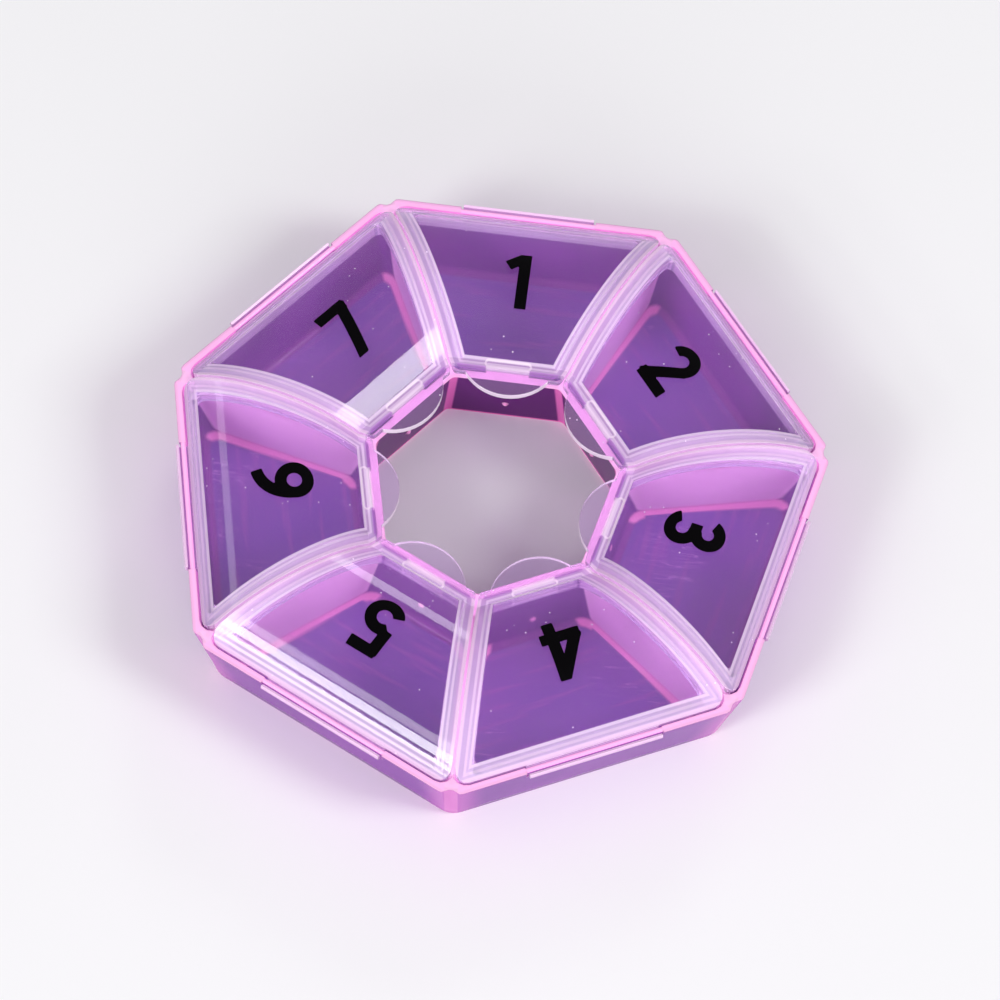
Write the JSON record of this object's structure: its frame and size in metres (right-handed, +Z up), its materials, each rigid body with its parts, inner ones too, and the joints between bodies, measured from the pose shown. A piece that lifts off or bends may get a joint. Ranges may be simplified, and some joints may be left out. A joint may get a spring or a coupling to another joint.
{
  "type": "travel pill box",
  "caption": "Flat heptagonal pill organiser: a translucent tray with a wedge-shaped compartment along each side, an open middle, and clear arched lids that hinge up at the rim.",
  "frame": {"origin": "under the middle of the box, on the surface that it lies on: the middle of the bounding box in X and Y, and its lowest level in Z", "axes": "+Z up through the hole, +Y square to the side of the rim that carries lid 1, +X to the right when looking along +Y; a corner of the rim points to -Y"},
  "size_m": [0.0946, 0.093, 0.0198],
  "materials": {
    "tray_plastic": "glossy translucent pink moulded plastic",
    "lid_plastic": "clear, faintly milky moulded plastic"
  },
  "bodies": {
    "tray": {"tray": "tray_plastic"},
    "lid_1": {"lid_1": "lid_plastic"},
    "lid_2": {"lid_2": "lid_plastic"},
    "lid_3": {"lid_3": "lid_plastic"},
    "lid_4": {"lid_4": "lid_plastic"},
    "lid_5": {"lid_5": "lid_plastic"},
    "lid_6": {"lid_6": "lid_plastic"},
    "lid_7": {"lid_7": "lid_plastic"}
  },
  "joints": [
    {"name": "lid_1_hinge", "type": "hinge", "parent": "tray", "child": "lid_1", "pos_m": [0, 0.04536, 0.014], "axis": [-1, 0, 0], "range_deg": [0, 105]},
    {"name": "lid_2_hinge", "type": "hinge", "parent": "tray", "child": "lid_2", "pos_m": [0.03405, 0.02896, 0.014], "axis": [-0.6235, 0.7818, 0], "range_deg": [0, 105]},
    {"name": "lid_3_hinge", "type": "hinge", "parent": "tray", "child": "lid_3", "pos_m": [0.04246, -0.00788, 0.014], "axis": [0.2225, 0.9749, 0], "range_deg": [0, 105]},
    {"name": "lid_4_hinge", "type": "hinge", "parent": "tray", "child": "lid_4", "pos_m": [0.01889, -0.03743, 0.014], "axis": [0.901, 0.4339, 0], "range_deg": [0, 105]},
    {"name": "lid_5_hinge", "type": "hinge", "parent": "tray", "child": "lid_5", "pos_m": [-0.01889, -0.03743, 0.014], "axis": [0.901, -0.4339, 0], "range_deg": [0, 105]},
    {"name": "lid_6_hinge", "type": "hinge", "parent": "tray", "child": "lid_6", "pos_m": [-0.04246, -0.00788, 0.014], "axis": [0.2225, -0.9749, 0], "range_deg": [0, 105]},
    {"name": "lid_7_hinge", "type": "hinge", "parent": "tray", "child": "lid_7", "pos_m": [-0.03405, 0.02896, 0.014], "axis": [-0.6235, -0.7818, 0], "range_deg": [0, 105]}
  ]
}
